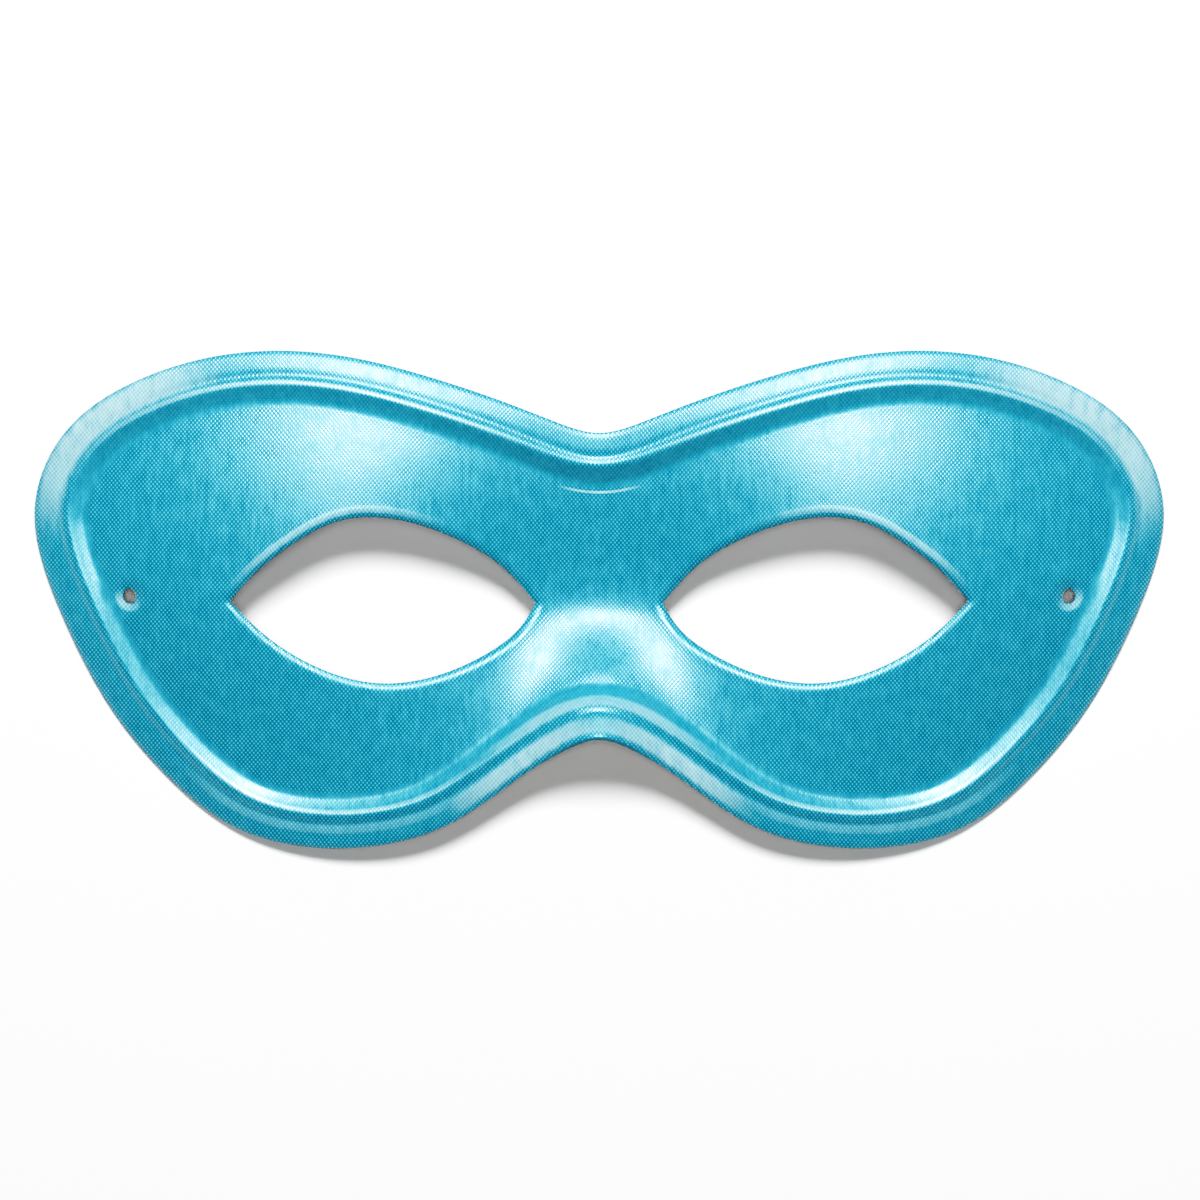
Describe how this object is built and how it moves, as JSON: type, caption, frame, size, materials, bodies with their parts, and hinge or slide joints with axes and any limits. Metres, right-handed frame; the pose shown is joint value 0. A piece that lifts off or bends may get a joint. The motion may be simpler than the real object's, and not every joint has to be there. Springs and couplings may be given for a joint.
{
  "type": "domino mask",
  "caption": "Half mask of stiffened satin moulded round the brow and nose, with a ribbed rim, almond eye holes and holes for an elastic at the temples.",
  "frame": {"origin": "on the surface that the mask lies on, under the centre of its bounding box", "axes": "+X from temple to temple, +Y towards the brow, +Z out of the front of the mask"},
  "size_m": [0.18, 0.079, 0.0184],
  "materials": {
    "satin": "glossy woven satin on a stiff backing"
  },
  "bodies": {
    "root": {"mask_shell": "satin"}
  },
  "joints": []
}
